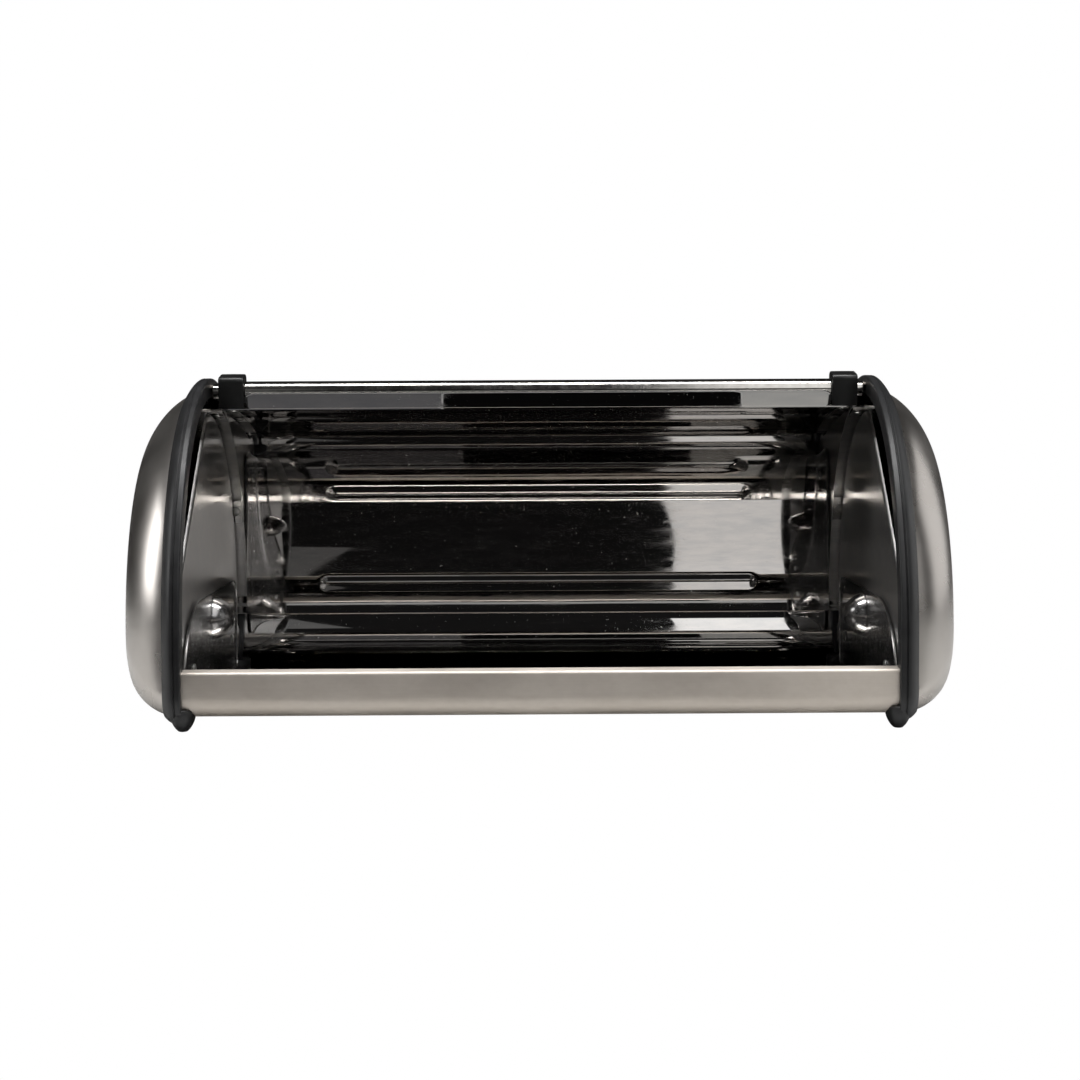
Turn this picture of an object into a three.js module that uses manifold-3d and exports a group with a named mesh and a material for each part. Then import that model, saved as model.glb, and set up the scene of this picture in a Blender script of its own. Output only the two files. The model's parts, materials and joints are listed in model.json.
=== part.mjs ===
// Roll-top bread box: a wrapped steel body between two domed ends, with a curved lid that
// rolls up inside the body on two pivots. Millimetres, +Z up. The origin is on the table,
// midway between the ends and straight below the pivots. The mouth faces -Y.
// The lid is drawn open, resting on its stop.

import * as THREE from 'three';
import { mergeVertices } from 'three/addons/utils/BufferGeometryUtils.js';
import Module from 'manifold-3d';

const wasm = await Module();
wasm.setup();

// Driving sizes of the body
const innerWidth = 371;             // between the two end trims
const trimWidth = 10.5;             // plastic trim, measured across the box
const trimRadius = 137;             // outer radius of the trim's round top
const trimDepth = 11;               // radial depth of the trim
const trimGroove = 0.6;             // depth of the line round the trim
const trimGroovePlace = 3.6;        // distance of that line from the trim's inner face
const trimShoulder = 7;             // the outer edge is rounded off by this much
const trimShoulderLow = 3;          // and by this much along the bottom
const rimWall = 0.6;                // trim wall round the dome's rim
const trimBottom = 3.4;             // height of the trim's lower edge above the table
const pivotHeight = 47.6;           // height of the lid's axis, and of the round top's centre
const frontCorner = 16;             // trim corner at the foot of the front
const rearCorner = 34.5;            // trim corner at the foot of the back
const shellSetback = 4;             // the sheet body lies this far inside the trim's outline
const sheet = 0.8;                  // body, lid and panel sheet
const gap = 0.3;                    // clearance between neighbouring pieces

// Body edges
const apronTop = 31.6;              // height of the ledge along the mouth
const ledgeDepth = 15;
const ledgeHem = 6;                 // turned down behind the ledge
const ledgeCorner = 1.4;            // bend along the ledge's front edge
const panRearTop = 39;              // height of the pan's turned-up back edge
const panRearBend = 30;             // bend between the floor and the upturned back
const rearLapAngle = 60;            // degrees of the rear bend that the back shell laps
const edgeCapture = 2.2;            // how far the sheet edges reach into the trim

// End domes
const domeHeight = 28;              // from the rim to the flat crown
const domeInset = 32.1;             // width of the rounding along the top and sides
const domeBottomInset = 16;         // width of the rounding along the bottom
const domeCrownPower = 1.55;        // 2 is an ellipse, less is a flatter shoulder
const domeSeat = 4.3;               // depth of the rim's seat in the trim
const domeWallShare = 1.6;          // keeps the wall even where the dome leaves the rim
const domeCornerFlare = 16;         // how much the corners open up towards the crown

// End panels and pivot brackets
const panelToRivets = 1;            // clearance of the panel's rim inside the lid's rivets
const panelCutSetback = 23.8;       // depth of the straight cut across the front of the panel
const panelCutAngle = 129;          // direction the cut faces, degrees from +Y
const panelShoulderDrop = 3.6;      // the panel widens to the trim this far below the ledge
const bracketTop = 62.4;
const bracketToLid = 3.8;           // clearance between the bracket's front and the lid's sweep
const bracketRearSetback = 41;      // from the back of the trim to the bracket
const bracketFrontCorner = 26;
const bracketRearCorner = 12;
const bossRadius = 14;
const bossHeight = 12.5;
const bracketRivetInset = 18;       // from the bracket's back edge to its rivet
const bracketRivetHeight = 27;

// Pivots
const pinRadius = 4;
const pinHeadRadius = 7;
const pinHeadWidth = 2;
const bushWall = 2.7;
const bushFlangeRadius = 11;
const bushFlangeWidth = 3;
const washerRadius = 9;
const washerWidth = 1;
const clipRadius = 7;
const pinEndLength = 1.2;
const pinHeadGap = 1;               // from the bracket's face to the pin's head, inside the boss

// Lid
const lidSetback = 14.4;            // from the trim's outline to the lid's outer face
const lidTrail = -4.2;              // degrees from +Y to the trailing edge
const lidLead = 102.6;              // degrees from +Y to the leading edge
const lidOverhang = 5.9;            // how far the lid reaches past the trim's inner face
const sideHem = 8.4;
const trailHem = 11;
const hemFold = 0.9;
const flangeHeight = 9;
const flangeChamfer = 3;
const armSheet = 1.5;
const armHubRadius = 16;
const armStart = 22;                // degrees from +Y
const armEnd = 82;
const armTabWidth = 16;
const rivetRadius = 1.8;
const rivetHead = 3.1;              // radius of a rivet's head
const rivetCrown = 1;               // height of a rivet's head

// Handle
const mountWidth = 14.3;
const mountInset = 6.9;             // from the trim's inner face to the mount's outer side
const mountPastTube = 3.2;          // thickness of the mount outside the tube
const mountWall = 3;                // behind the tube
const mountRound = 2.5;
const tubeRadius = 5.8;
const tubeWall = 0.9;
const tubeLift = 2.6;               // gap between the lid and the tube
const tubeToFlange = 0.4;
const spigotFit = 0.5;              // radial clearance of the spigot in the tube
const spigotInTube = 12;
const spigotPastMount = 3.6;
const mountScrewRadius = 1.5;
const mountScrewHead = 3.2;
const mountScrewCrown = 1.6;        // height of the screw's head
const mountScrewDepth = 2.6;        // into the mount
const mountScrewTip = 0.5;          // clearance from the screw's tip to the spigot

// Turned edges are broken by this much
const edgeBreak = 0.6;

// Feet
const footRadius = 6.6;
const footHeight = 12;
const footLip = 9;                  // height where the foot reaches its full width
const footPad = 3;                  // radius of the flat face that stands on the table
const footOffset = 0.6;             // foot centre, outboard of the trim's inner face
const footStretch = 1.45;           // a foot is this much longer than wide
const frontFootSetback = 13;        // foot centre, behind the front of the trim
const rearFootSetback = 27;         // foot centre, before the back of the trim

// Roundness
const topSteps = 36;
const cornerSteps = 4;
const bendSteps = 8;
const roundSteps = 20;
const domeSteps = 6;
const domeStepPower = 1.3;          // crowds the steps where the dome bends most
const lidSteps = 30;
const smallSteps = 12;

// Values that follow
const trimInner = innerWidth / 2;
const trimOuter = trimInner + trimWidth;
const shellRadius = trimRadius - shellSetback;
const shellMiddle = shellRadius - sheet / 2;
const floorMiddle = trimBottom + shellSetback + sheet / 2;
const floorTop = floorMiddle + sheet / 2;
const sheetEnd = trimInner + edgeCapture;
const panelInner = sheetEnd + gap;
const bracketInner = panelInner - gap - sheet;
const seatDepth = trimOuter - domeSeat;
const lidRadius = trimRadius - lidSetback;
const lidInner = lidRadius - sheet;
const lidHalf = trimInner + lidOverhang;
const rivetInnerEnd = lidInner - hemFold - 2 * gap - armSheet - rivetCrown;
const panelRadius = rivetInnerEnd - panelToRivets;
const panelCutReach = panelRadius - panelCutSetback;
const panelShoulder = apronTop - panelShoulderDrop;
const bracketFront = lidInner - bracketToLid;
const bracketRear = trimRadius - bracketRearSetback;
const bracketRivetReach = bracketRear - bracketRivetInset;
const spigotRadius = tubeRadius - tubeWall - spigotFit;
const tubeCentreRadius = lidRadius + tubeLift + tubeRadius;
const mountScrewRoom = tubeCentreRadius - spigotRadius - mountScrewTip;
const mountScrewEnd = Math.min(lidRadius + gap + mountScrewDepth, mountScrewRoom);
const mountRadius = tubeCentreRadius + tubeRadius + mountPastTube;
const frontFootReach = trimRadius - frontFootSetback;
const rearFootReach = trimRadius - rearFootSetback;
const armInner = lidHalf + gap;
const mountOuter = trimInner - mountInset;
const mountInner = mountOuter - mountWidth;
const degree = Math.PI / 180;
const tubeLag = (tubeRadius + tubeToFlange + sheet) / tubeCentreRadius / degree;
const tubeAngle = lidLead - tubeLag;
const mountBack = tubeRadius + mountWall;
const mountFront = tubeRadius + tubeToFlange + sheet;
const shellFront = tubeAngle - Math.asin((mountBack + gap) / shellMiddle) / degree - 0.1;

// Geometry helpers

function solidOf(geometry) {
  const plain = geometry.clone();
  plain.deleteAttribute('normal');
  plain.deleteAttribute('uv');
  const merged = mergeVertices(plain, 1e-4);
  const mesh = new wasm.Mesh({
    numProp: 3,
    vertProperties: new Float32Array(merged.attributes.position.array),
    triVerts: new Uint32Array(merged.index.array),
  });
  return new wasm.Manifold(mesh);
}

function geometryOf(solid) {
  const mesh = solid.getMesh();
  const geometry = new THREE.BufferGeometry();
  const corners = new Float32Array(mesh.vertProperties);
  geometry.setAttribute('position', new THREE.BufferAttribute(corners, 3));
  geometry.setIndex(new THREE.BufferAttribute(new Uint32Array(mesh.triVerts), 1));
  geometry.computeVertexNormals();
  return geometry;
}

// Extrudes an outline of (y, z) points along X
function acrossX(points, x0, x1) {
  const geometry = new THREE.ExtrudeGeometry(new THREE.Shape(points), {
    depth: x1 - x0,
    bevelEnabled: false,
  });
  const basis = new THREE.Matrix4().makeBasis(
    new THREE.Vector3(0, 1, 0),
    new THREE.Vector3(0, 0, 1),
    new THREE.Vector3(1, 0, 0),
  );
  geometry.applyMatrix4(basis);
  geometry.translate(x0, 0, 0);
  return geometry;
}

// Turns a profile of (radius, x) points round the X axis through (y, z)
function roundX(profile, y, z, steps = roundSteps) {
  const points = profile.map(([radius, x]) => new THREE.Vector2(radius, x));
  const geometry = new THREE.LatheGeometry(points, steps);
  geometry.rotateZ(-Math.PI / 2);
  geometry.translate(0, y, z);
  return geometry;
}

// Turns a profile of (radius, reach) points round a spoke that leaves the lid's axis
function roundSpoke(profile, x, angle, steps = smallSteps) {
  const points = profile.map(([radius, reach]) => new THREE.Vector2(radius, reach));
  const geometry = new THREE.LatheGeometry(points, steps);
  geometry.rotateX(angle * degree);
  geometry.translate(x, 0, pivotHeight);
  return geometry;
}

function arc(cy, cz, radius, from, to, steps) {
  const points = [];
  for (let i = 0; i <= steps; i += 1) {
    const turn = (from + ((to - from) * i) / steps) * degree;
    points.push(new THREE.Vector2(cy + radius * Math.cos(turn), cz + radius * Math.sin(turn)));
  }
  return points;
}

// A strip of even thickness along a path of (y, z) points
function strip(path, thickness) {
  const left = [];
  const right = [];
  path.forEach((point, i) => {
    const before = path[Math.max(i - 1, 0)];
    const after = path[Math.min(i + 1, path.length - 1)];
    const along = point.clone().sub(before).normalize();
    const onward = after.clone().sub(point).normalize();
    const mean = along.clone().add(onward).normalize();
    const straight = i === 0 ? onward : along;
    const cosine = Math.max(mean.dot(straight), 0.5);
    const normal = new THREE.Vector2(-mean.y, mean.x).multiplyScalar(thickness / 2 / cosine);
    left.push(point.clone().add(normal));
    right.push(point.clone().sub(normal));
  });
  return left.concat(right.reverse());
}

// Arched outline of an end: round top, straight sides, and two rounded lower corners
function endOutline(radius, bottom, front, rear) {
  return [
    ...arc(0, pivotHeight, radius, 0, 180, topSteps),
    ...arc(-(radius - front), bottom + front, front, 180, 270, cornerSteps),
    ...arc(radius - rear, bottom + rear, rear, 270, 360, cornerSteps),
  ];
}

function trimOutline(inset) {
  return endOutline(trimRadius - inset, trimBottom + inset, frontCorner - inset, rearCorner - inset);
}

// Outline of the trim's rounded outer edge, from the full outline at 0 to its end at 1
function trimShoulderOutline(share, wall) {
  const low = trimShoulderLow * share + wall;
  const side = trimRadius - trimShoulder * share - wall;
  return endOutline(side, trimBottom + low, frontCorner - low, rearCorner - low);
}

// Inner edge of the trim, level with the pan's floor at the bottom
function trimMouth(inset) {
  const depth = trimDepth + inset;
  return endOutline(trimRadius - depth, floorTop + inset, frontCorner - depth, rearCorner - depth);
}

// Joins rings of (y, z) points at their own x into one closed surface
function loft(rings, closed) {
  const count = rings[0].points.length;
  const positions = [];
  const index = [];
  rings.forEach(({ points, x }) => points.forEach((p) => positions.push(x, p.x, p.y)));
  const bands = closed ? rings.length : rings.length - 1;
  for (let r = 0; r < bands; r += 1) {
    const here = r * count;
    const next = ((r + 1) % rings.length) * count;
    for (let i = 0; i < count; i += 1) {
      const j = (i + 1) % count;
      index.push(here + i, here + j, next + j);
      index.push(here + i, next + j, next + i);
    }
  }
  if (!closed) {
    const ends = [0, rings.length - 1];
    ends.forEach((r) => {
      const middle = positions.length / 3;
      positions.push(rings[r].x, 0, pivotHeight);
      for (let i = 0; i < count; i += 1) {
        const j = (i + 1) % count;
        const edge = r === 0 ? [r * count + j, r * count + i] : [r * count + i, r * count + j];
        index.push(edge[0], edge[1], middle);
      }
    });
  }
  const geometry = new THREE.BufferGeometry();
  geometry.setAttribute('position', new THREE.Float32BufferAttribute(positions, 3));
  geometry.setIndex(index);
  return geometry;
}

// The right-hand pieces are drawn, and the left-hand ones are their mirror image
function mirrored(geometry) {
  const copy = geometry.index ? geometry.toNonIndexed() : geometry.clone();
  const positions = copy.attributes.position;
  for (let i = 0; i < positions.count; i += 3) {
    const corners = [0, 2, 1].map((k) => new THREE.Vector3().fromBufferAttribute(positions, i + k));
    corners.forEach((corner, k) => positions.setXYZ(i + k, -corner.x, corner.y, corner.z));
  }
  copy.computeVertexNormals();
  return copy;
}

// Body sheets

const panRearCentre = { y: shellMiddle - sheet - gap - panRearBend, z: floorMiddle + panRearBend };
const panFrontBend = frontCorner - shellSetback - sheet / 2;

function panPath() {
  const frontY = -shellMiddle;
  const ledgeZ = apronTop - sheet / 2;
  return [
    new THREE.Vector2(panRearCentre.y + panRearBend, Math.max(panRearTop, panRearCentre.z + gap)),
    ...arc(panRearCentre.y, panRearCentre.z, panRearBend, 0, -90, bendSteps),
    ...arc(frontY + panFrontBend, floorMiddle + panFrontBend, panFrontBend, -90, -180, bendSteps),
    ...arc(frontY + ledgeCorner, ledgeZ - ledgeCorner, ledgeCorner, 180, 90, cornerSteps),
    ...arc(frontY + ledgeDepth - ledgeCorner, ledgeZ - ledgeCorner, ledgeCorner, 90, 0, cornerSteps),
    new THREE.Vector2(frontY + ledgeDepth, ledgeZ - ledgeHem),
  ];
}

function shellPath() {
  const lap = panRearBend + sheet + gap;
  return [
    ...arc(0, pivotHeight, shellMiddle, shellFront, 0, topSteps / 2),
    ...arc(panRearCentre.y, panRearCentre.z, lap, 0, -rearLapAngle, bendSteps),
  ];
}

function floorPan() {
  return acrossX(strip(panPath(), sheet), -sheetEnd, sheetEnd);
}

function backTopShell() {
  return acrossX(strip(shellPath(), sheet), -sheetEnd, sheetEnd);
}

// End pieces

function foot(reach) {
  const profile = [
    [0, 0],
    [footPad, 0],
    [0.8 * footRadius, 0.35 * footLip],
    [footRadius, footLip],
    [footRadius, footHeight],
    [0, footHeight],
  ].map(([radius, height]) => new THREE.Vector2(radius, height));
  const geometry = new THREE.LatheGeometry(profile, roundSteps);
  geometry.rotateX(Math.PI / 2);
  geometry.scale(1, footStretch, 1);
  geometry.translate(trimInner + footOffset, reach, 0);
  return geometry;
}

// The sheet's section with its clearance, which its neighbours are slotted for
function slotSection(path) {
  return strip(path, sheet + 2 * gap);
}

function endTrim() {
  const grooveAt = trimInner + trimGroovePlace;
  const shoulderWidth = trimOuter - grooveAt;
  const rings = [
    { points: trimOutline(0), x: trimInner },
    { points: trimOutline(0), x: grooveAt - trimGroove },
    { points: trimOutline(trimGroove), x: grooveAt },
    { points: trimOutline(0), x: grooveAt + trimGroove },
    { points: trimShoulderOutline(0.15, 0), x: grooveAt + 0.25 * shoulderWidth },
    { points: trimShoulderOutline(0.5, 0), x: grooveAt + 0.65 * shoulderWidth },
    { points: trimShoulderOutline(1, 0), x: trimOuter },
    { points: trimShoulderOutline(1, rimWall), x: trimOuter },
    { points: trimShoulderOutline(1, rimWall), x: seatDepth },
    { points: trimMouth(0), x: seatDepth },
    { points: trimMouth(0), x: trimInner },
  ];
  const slotStart = trimInner - 2 * footRadius;
  const slotEnd = sheetEnd + gap;
  let solid = solidOf(loft(rings, true));
  const compartment = solidOf(acrossX(panPath(), slotStart, trimOuter));
  [-frontFootReach, rearFootReach].forEach((reach) => {
    solid = solid.add(solidOf(foot(reach)).subtract(compartment));
  });
  [panPath(), shellPath()].forEach((path) => {
    solid = solid.subtract(solidOf(acrossX(slotSection(path), slotStart, slotEnd)));
  });
  return geometryOf(solid);
}

function domeRing(share, thickness) {
  const rise = (1 - (1 - share) ** domeCrownPower) ** (1 / domeCrownPower);
  const rim = trimShoulderLow + rimWall + gap;
  const bottom = trimBottom + rim + domeBottomInset * share;
  const room = pivotHeight - bottom - edgeBreak;
  const front = Math.min(frontCorner - rim + domeCornerFlare * share, room);
  const rear = Math.min(rearCorner - rim, room);
  const side = trimRadius - trimShoulder - rimWall - gap - domeInset * share;
  return {
    points: endOutline(side - thickness, bottom + thickness, front - thickness, rear - thickness),
    x: seatDepth + gap + domeHeight * rise - (rise > 0 ? thickness * Math.min(rise * domeWallShare, 1) : 0),
  };
}

function endDome() {
  const shares = [];
  for (let i = 0; i <= domeSteps; i += 1) {
    shares.push(1 - Math.cos((i / domeSteps) * Math.PI / 2) ** domeStepPower);
  }
  const outer = shares.map((share) => domeRing(share, 0)).reverse();
  const inner = shares.map((share) => domeRing(share, sheet));
  return loft([...outer, ...inner].reverse(), false);
}

function rod(radius, x0, x1, y, z, steps = smallSteps) {
  return roundX([[0, x0], [radius, x0], [radius, x1], [0, x1]], y, z, steps);
}

// A disc with a straight front edge above, widening to the trim below the shoulder
function endPanel() {
  const x1 = panelInner + sheet;
  const rim = arc(0, pivotHeight, panelRadius, 0, 360, 2 * topSteps).slice(1);
  const frontCut = new THREE.BoxGeometry(trimOuter, panelRadius, 2 * trimRadius);
  frontCut.translate(panelInner, panelCutReach + panelRadius / 2, 0);
  frontCut.rotateX(panelCutAngle * degree);
  frontCut.translate(0, 0, pivotHeight);
  const lowPart = new THREE.BoxGeometry(trimOuter, 2 * trimRadius, panelShoulder);
  lowPart.translate(panelInner, 0, panelShoulder / 2);
  let solid = solidOf(acrossX(rim, panelInner, x1)).subtract(solidOf(frontCut));
  solid = solid.add(solidOf(lowPart)).intersect(solidOf(acrossX(trimMouth(gap), panelInner, x1)));
  solid = solid.subtract(solidOf(rod(pinRadius + gap, panelInner - 1, x1 + 1, 0, pivotHeight)));
  [-bracketRivetReach, bracketRivetReach].forEach((y) => {
    const pilot = rod(rivetRadius + gap, panelInner - 1, x1 + 1, y, bracketRivetHeight);
    solid = solid.subtract(solidOf(pilot));
  });
  return geometryOf(solid);
}

function pivotBracket() {
  const bottom = floorTop + gap;
  const front = bracketFrontCorner;
  const rear = bracketRearCorner;
  const outline = [
    new THREE.Vector2(-bracketFront, bottom),
    new THREE.Vector2(bracketRear, bottom),
    ...arc(bracketRear - rear, bracketTop - rear, rear, 0, 90, cornerSteps),
    ...arc(-bracketFront + front, bracketTop - front, front, 90, 180, bendSteps),
  ];
  const x0 = bracketInner;
  const x1 = bracketInner + sheet;
  let solid = solidOf(acrossX(outline, x0, x1));
  const mouth = rod(bossRadius - sheet, x0 - 1, x1 + 1, 0, pivotHeight, roundSteps);
  solid = solid.subtract(solidOf(mouth));
  const outer = [];
  const inner = [];
  for (let i = 0; i <= cornerSteps; i += 1) {
    const turn = (i / cornerSteps) * (Math.PI / 2);
    outer.push([bossRadius * Math.sin(turn), x0 - bossHeight * Math.cos(turn)]);
    inner.push([(bossRadius - sheet) * Math.sin(turn), x0 - (bossHeight - sheet) * Math.cos(turn)]);
  }
  outer.push([bossRadius, x1]);
  inner.push([bossRadius - sheet, x1]);
  solid = solid.add(solidOf(roundX([...outer, ...inner.reverse()], 0, pivotHeight)));
  [-bracketRivetReach, bracketRivetReach].forEach((y) => {
    const pilot = rod(rivetRadius + gap, x0 - 1, x1 + 1, y, bracketRivetHeight);
    solid = solid.subtract(solidOf(pilot));
  });
  solid = solid.subtract(solidOf(acrossX(slotSection(panPath()), x0 - 1, x1 + 1)));
  return geometryOf(solid);
}

// A rivet's profile from one head to the other, for joining sheets between two faces
function rivetProfile(start, end) {
  return [
    [0, start - rivetCrown],
    [rivetHead / 2, start - 0.9 * rivetCrown],
    [rivetHead, start - 0.2 * rivetCrown],
    [rivetHead, start],
    [rivetRadius, start],
    [rivetRadius, end],
    [rivetHead, end],
    [rivetHead / 2, end + 0.8 * rivetCrown],
    [0, end + 0.9 * rivetCrown],
  ];
}

function bracketRivet(y) {
  const profile = rivetProfile(bracketInner - gap, panelInner + sheet + gap);
  return roundX(profile, y, bracketRivetHeight, smallSteps);
}

// Pivot pieces, from the panel outwards: bush, arm, washer, clip

const bushStart = panelInner + sheet + gap;
const hubEnd = armInner + armSheet + gap;
const bushFlangeEnd = Math.min(bushStart + bushFlangeWidth, armInner - gap);
const washerStart = hubEnd + gap;
const clipStart = washerStart + washerWidth + gap;
const pinEnd = clipStart + washerWidth + pinEndLength;

function pivotPin() {
  const headEnd = bracketInner - gap - pinHeadGap;
  const profile = [
    [0, headEnd - pinHeadWidth],
    [pinHeadRadius - edgeBreak, headEnd - pinHeadWidth],
    [pinHeadRadius, headEnd - pinHeadWidth + edgeBreak],
    [pinHeadRadius, headEnd],
    [pinRadius, headEnd],
    [pinRadius, pinEnd - edgeBreak],
    [pinRadius - edgeBreak, pinEnd],
    [0, pinEnd],
  ];
  return roundX(profile, 0, pivotHeight);
}

function ringX(inner, outer, x0, x1) {
  return roundX([[inner, x0], [outer, x0], [outer, x1], [inner, x1], [inner, x0]], 0, pivotHeight);
}

function pivotBush() {
  const inner = pinRadius + gap;
  const barrel = inner + bushWall;
  const profile = [
    [inner, bushStart],
    [bushFlangeRadius, bushStart],
    [bushFlangeRadius, bushFlangeEnd],
    [barrel, bushFlangeEnd],
    [barrel, hubEnd],
    [inner, hubEnd],
    [inner, bushStart],
  ];
  return roundX(profile, 0, pivotHeight);
}

function pivotWasher() {
  return ringX(pinRadius + gap, washerRadius, washerStart, washerStart + washerWidth);
}

function pivotClip() {
  const inner = pinRadius + gap;
  let solid = solidOf(ringX(inner, clipRadius, clipStart, clipStart + washerWidth));
  const mouth = new THREE.BoxGeometry(washerWidth + 2, inner * 1.5, clipRadius * 2);
  mouth.translate(clipStart + washerWidth / 2, 0, pivotHeight - clipRadius);
  solid = solid.subtract(solidOf(mouth));
  return geometryOf(solid);
}

// Lid pieces

function arcBand(inner, outer, from, to, steps, x0, x1) {
  const outline = [
    ...arc(0, pivotHeight, outer, from, to, steps),
    ...arc(0, pivotHeight, inner, to, from, steps),
  ];
  return acrossX(outline, x0, x1);
}

function onSpoke(geometry, angle) {
  geometry.rotateX((angle - 90) * degree);
  geometry.translate(0, 0, pivotHeight);
  return geometry;
}

const armRivetAngles = [armStart + 6, armEnd - 6];
const armRivetX = lidHalf - sideHem / 2;
const mountScrewX = mountInner + mountWidth / 2;

// A clearance hole through the lid and what lies against it
function lidDrill(radius, x, angle) {
  const wide = radius + gap;
  const start = lidInner - hemFold - 4 * armSheet;
  const end = lidRadius + 4 * armSheet;
  return solidOf(roundSpoke([[0, start], [wide, start], [wide, end], [0, end]], x, angle));
}

function lidSheet() {
  const hemInner = lidInner - hemFold;
  const hemAngle = (trailHem / lidInner) / degree;
  let solid = solidOf(arcBand(lidInner, lidRadius, lidTrail, lidLead, lidSteps, -lidHalf, lidHalf));
  [-1, 1].forEach((side) => {
    const x0 = side > 0 ? lidHalf - sideHem : -lidHalf;
    const hem = arcBand(hemInner, lidInner + sheet / 2, lidTrail, lidLead, lidSteps, x0, x0 + sideHem);
    solid = solid.add(solidOf(hem));
  });
  const trailing = arcBand(
    hemInner, lidInner + sheet / 2, lidTrail, lidTrail + hemAngle, cornerSteps, -lidHalf, lidHalf,
  );
  solid = solid.add(solidOf(trailing));
  const top = lidRadius + flangeHeight;
  const flange = new THREE.Shape([
    new THREE.Vector2(-mountInner, lidInner),
    new THREE.Vector2(mountInner, lidInner),
    new THREE.Vector2(mountInner, top - flangeChamfer),
    new THREE.Vector2(mountInner - flangeChamfer, top),
    new THREE.Vector2(flangeChamfer - mountInner, top),
    new THREE.Vector2(-mountInner, top - flangeChamfer),
  ]);
  const plate = new THREE.ExtrudeGeometry(flange, { depth: sheet, bevelEnabled: false });
  plate.rotateX(Math.PI / 2);
  plate.translate(0, sheet, 0);
  solid = solid.add(solidOf(onSpoke(plate, lidLead)));
  [-1, 1].forEach((side) => {
    armRivetAngles.forEach((angle) => {
      solid = solid.subtract(lidDrill(rivetRadius, side * armRivetX, angle));
    });
    solid = solid.subtract(lidDrill(mountScrewRadius, side * mountScrewX, tubeAngle));
  });
  return geometryOf(solid);
}

function lidArm() {
  const rim = lidInner - hemFold - gap;
  const tab = rim - armSheet;
  const hubEdge = arc(0, pivotHeight, armHubRadius, armEnd + 90, armStart + 270, bendSteps);
  const outline = [...arc(0, pivotHeight, rim, armStart, armEnd, roundSteps), ...hubEdge];
  let solid = solidOf(acrossX(outline, armInner, armInner + armSheet));
  armRivetAngles.forEach((angle) => {
    const from = angle - armTabWidth / 2 / rim / degree;
    const to = angle + armTabWidth / 2 / rim / degree;
    const tabBand = arcBand(tab, rim, from, to, cornerSteps, lidHalf - sideHem, armInner + armSheet / 2);
    solid = solid.add(solidOf(tabBand)).subtract(lidDrill(rivetRadius, armRivetX, angle));
  });
  const bore = pinRadius + 2 * gap + bushWall;
  const hub = rod(bore, armInner - 1, armInner + armSheet + 1, 0, pivotHeight, roundSteps);
  return geometryOf(solid.subtract(solidOf(hub)));
}

function armRivet(angle) {
  const profile = rivetProfile(lidInner - hemFold - 2 * gap - armSheet, lidRadius + gap);
  return roundSpoke(profile, armRivetX, angle);
}

// Handle pieces

function handleMount() {
  const seat = lidRadius + gap;
  const drop = (t) => Math.sqrt(seat * seat - t * t);
  const round = mountRound;
  const corner = (cy, cz, from, to) => arc(cy, cz, round, from, to, cornerSteps);
  const outline = [
    new THREE.Vector2(-mountFront, drop(mountFront)),
    new THREE.Vector2(0, seat),
    new THREE.Vector2(mountBack, drop(mountBack)),
    ...corner(mountBack - round, mountRadius - round, 0, 90),
    ...corner(-mountFront + round, mountRadius - round, 90, 180),
  ];
  let solid = solidOf(acrossX(outline, mountInner, mountOuter));
  const bore = rod(spigotRadius + gap, mountInner - 1, mountOuter + 1, 0, tubeCentreRadius, roundSteps);
  const wide = mountScrewRadius + gap;
  const pilotTop = mountScrewEnd + gap;
  const pilot = new THREE.LatheGeometry([
    new THREE.Vector2(0, seat - 2),
    new THREE.Vector2(wide, seat - 2),
    new THREE.Vector2(wide, pilotTop),
    new THREE.Vector2(0, pilotTop),
  ], smallSteps);
  pilot.rotateX(Math.PI / 2);
  pilot.translate(mountScrewX, 0, 0);
  solid = solid.subtract(solidOf(bore)).subtract(solidOf(pilot));
  return onSpoke(geometryOf(solid), tubeAngle);
}

function mountScrew() {
  const under = lidInner - hemFold - gap;
  const profile = [
    [0, under - mountScrewCrown],
    [0.7 * mountScrewHead, under - 0.9 * mountScrewCrown],
    [mountScrewHead, under - 0.4 * mountScrewCrown],
    [mountScrewHead, under],
    [mountScrewRadius, under],
    [mountScrewRadius, mountScrewEnd],
    [0, mountScrewEnd],
  ];
  return roundSpoke(profile, mountScrewX, tubeAngle);
}

function handleTube() {
  const half = mountInner - gap;
  const profile = [
    [tubeRadius - tubeWall, -half],
    [tubeRadius, -half],
    [tubeRadius, half],
    [tubeRadius - tubeWall, half],
    [tubeRadius - tubeWall, -half],
  ];
  return onSpoke(roundX(profile, 0, tubeCentreRadius), tubeAngle);
}

function handleSpigot() {
  const end = mountOuter + spigotPastMount;
  const profile = [
    [0, mountInner - spigotInTube],
    [spigotRadius, mountInner - spigotInTube],
    [spigotRadius, end - edgeBreak],
    [spigotRadius - edgeBreak, end],
    [0, end],
  ];
  return onSpoke(roundX(profile, 0, tubeCentreRadius), tubeAngle);
}

// Assembly

const finishes = {
  brushedSteel: { color: 0xb4aea6, roughness: 0.42, metalness: 1 },
  mirrorSteel: { color: 0x8c8d8e, roughness: 0.12, metalness: 1 },
  trimPlastic: { color: 0x2b2b2b, roughness: 0.55, metalness: 0 },
  mountPlastic: { color: 0x202020, roughness: 0.45, metalness: 0 },
  polishedTube: { color: 0xc9c7c3, roughness: 0.18, metalness: 1 },
  fastener: { color: 0x9d9d9b, roughness: 0.35, metalness: 1 },
  nylon: { color: 0xe4e1d8, roughness: 0.5, metalness: 0 },
};

const group = new THREE.Group();

function place(name, geometry, finish) {
  const mesh = new THREE.Mesh(geometry, new THREE.MeshStandardMaterial(finishes[finish]));
  mesh.name = name;
  group.add(mesh);
}

function placePair(name, geometry, finish) {
  place(`right_${name}`, geometry, finish);
  place(`left_${name}`, mirrored(geometry), finish);
}

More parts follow.
